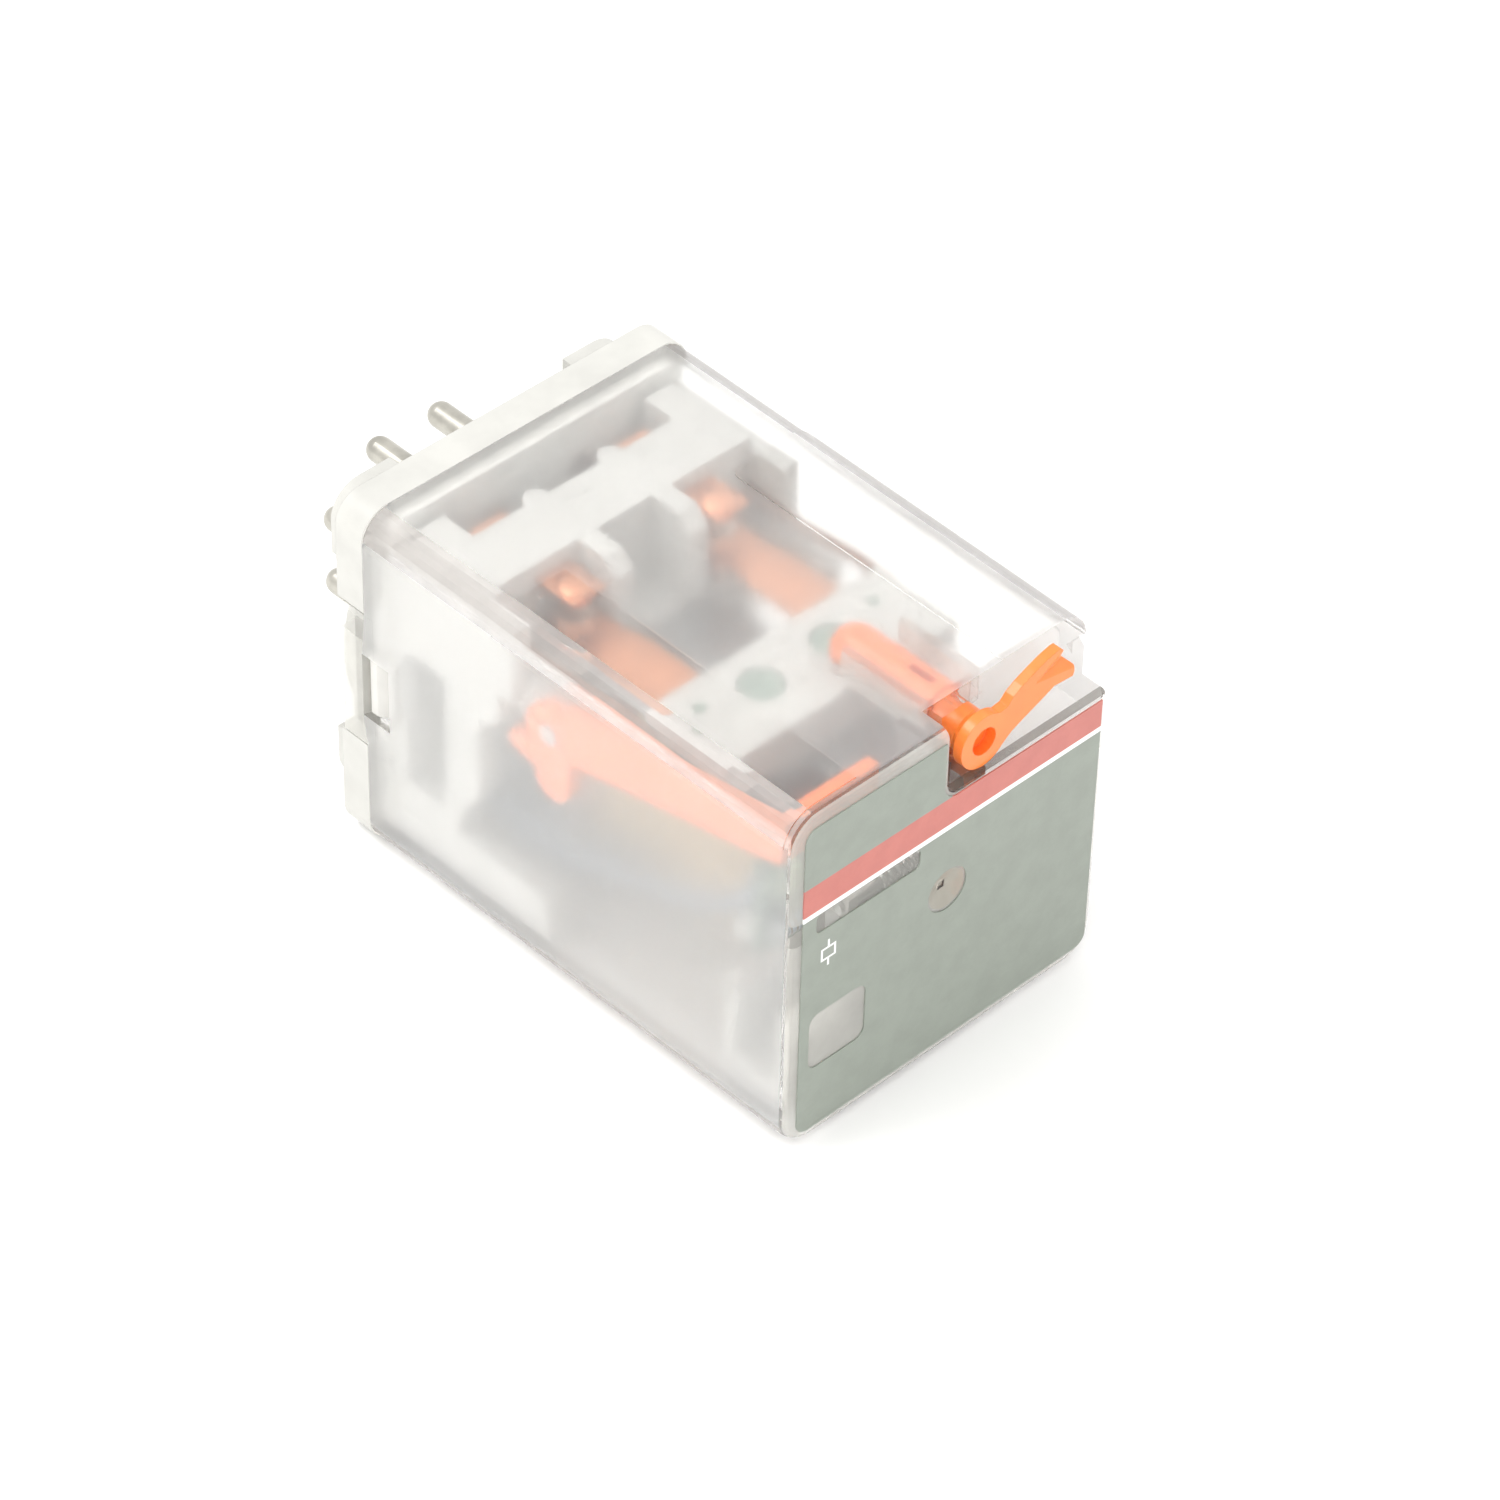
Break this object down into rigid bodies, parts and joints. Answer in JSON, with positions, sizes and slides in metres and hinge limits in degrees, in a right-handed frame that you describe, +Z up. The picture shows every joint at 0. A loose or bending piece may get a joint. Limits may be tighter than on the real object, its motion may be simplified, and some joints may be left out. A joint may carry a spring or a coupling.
{
  "type": "plug-in control relay",
  "caption": "Plug-in control relay: clear square cover with a front test lever and label, contact set and coil inside, and a ring of round pins on a keyed octal plug.",
  "frame": {"origin": "centre of the plug's pin circle, on the seat plane of the four corner feet", "axes": "+Z up with the label upright; the label faces -Y; the pins point to +Y; +X is to the right seen from the label side"},
  "size_m": [0.035, 0.0639, 0.0352],
  "materials": {
    "cream_plastic": "satin moulded thermoset",
    "pin_metal": "nickel-plated brass, polished",
    "copper_strip": "bare copper alloy",
    "clear_cover": "clear plastic, frosted outside with polished strips",
    "label_foil": "printed foil",
    "bobbin_plastic": "moulded",
    "winding": "enamelled wire",
    "tape": "glossy tape",
    "soft_iron": "zinc plated",
    "rivet_metal": "passivated",
    "wire_insulation": "insulated wire",
    "contact_metal": "silver alloy",
    "braid": "copper braid",
    "spring_steel": "drawn wire",
    "board": "circuit board",
    "led_lens": "tinted resin",
    "resistor": "lacquered",
    "laminate": "phenolic laminate",
    "orange_plastic": "gloss moulded"
  },
  "bodies": {
    "relay": {"base": "cream_plastic", "octal_pins": "pin_metal", "terminal_straps": "copper_strip", "contact_block": "cream_plastic", "cover": "clear_cover", "front_label": "label_foil", "coil_bobbin": "bobbin_plastic", "coil_winding": "winding", "coil_tape": "tape", "coil_core": "soft_iron", "shading_ring": "copper_strip", "yoke": "soft_iron", "yoke_rivets": "rivet_metal", "coil_lead": "wire_insulation", "upper_contact_left": "copper_strip", "upper_contact_right": "copper_strip", "lower_contact_left": "copper_strip", "lower_contact_right": "copper_strip", "fixed_contact_rivets": "contact_metal", "flexible_leads": "braid", "return_spring": "spring_steel", "spring_pin": "spring_steel", "led_board": "board", "indicator_led": "led_lens", "series_resistor": "resistor", "flag_pin": "cream_plastic"},
    "armature": {"armature": "soft_iron", "insulating_plate": "laminate", "contact_carrier": "cream_plastic", "carrier_rivets": "rivet_metal", "moving_spring_left": "copper_strip", "moving_spring_right": "copper_strip", "moving_contacts": "contact_metal"},
    "flag": {"flag_frame": "orange_plastic"},
    "plunger": {"test_plunger": "orange_plastic"},
    "lever": {"test_lever": "orange_plastic"}
  },
  "joints": [
    {"name": "armature_pivot", "type": "hinge", "parent": "relay", "child": "armature", "pos_m": [0, -0.0484, 0.0055], "axis": [1, 0, 0], "range_deg": [0, 3.2], "stiffness_Nm_per_rad": 0.03, "springref_deg": -5.73},
    {"name": "flag_pivot", "type": "hinge", "parent": "relay", "child": "flag", "pos_m": [-0.01495, -0.026, 0.0071], "axis": [1, 0, 0], "range_deg": [0, 15]},
    {"name": "test_push", "type": "slide", "parent": "relay", "child": "plunger", "axis": [0, 1, 0], "range_m": [0, 0.001]},
    {"name": "test_turn", "type": "hinge", "parent": "plunger", "child": "lever", "pos_m": [0.0036, -0.0539, 0.0131], "axis": [0, -1, 0], "range_deg": [0, 90]}
  ],
  "couplings": [
    {"joint": "flag_pivot", "follows": "armature_pivot", "ratio": 4.687},
    {"joint": "test_push", "follows": "armature_pivot", "m_per_rad": 0.017903}
  ]
}
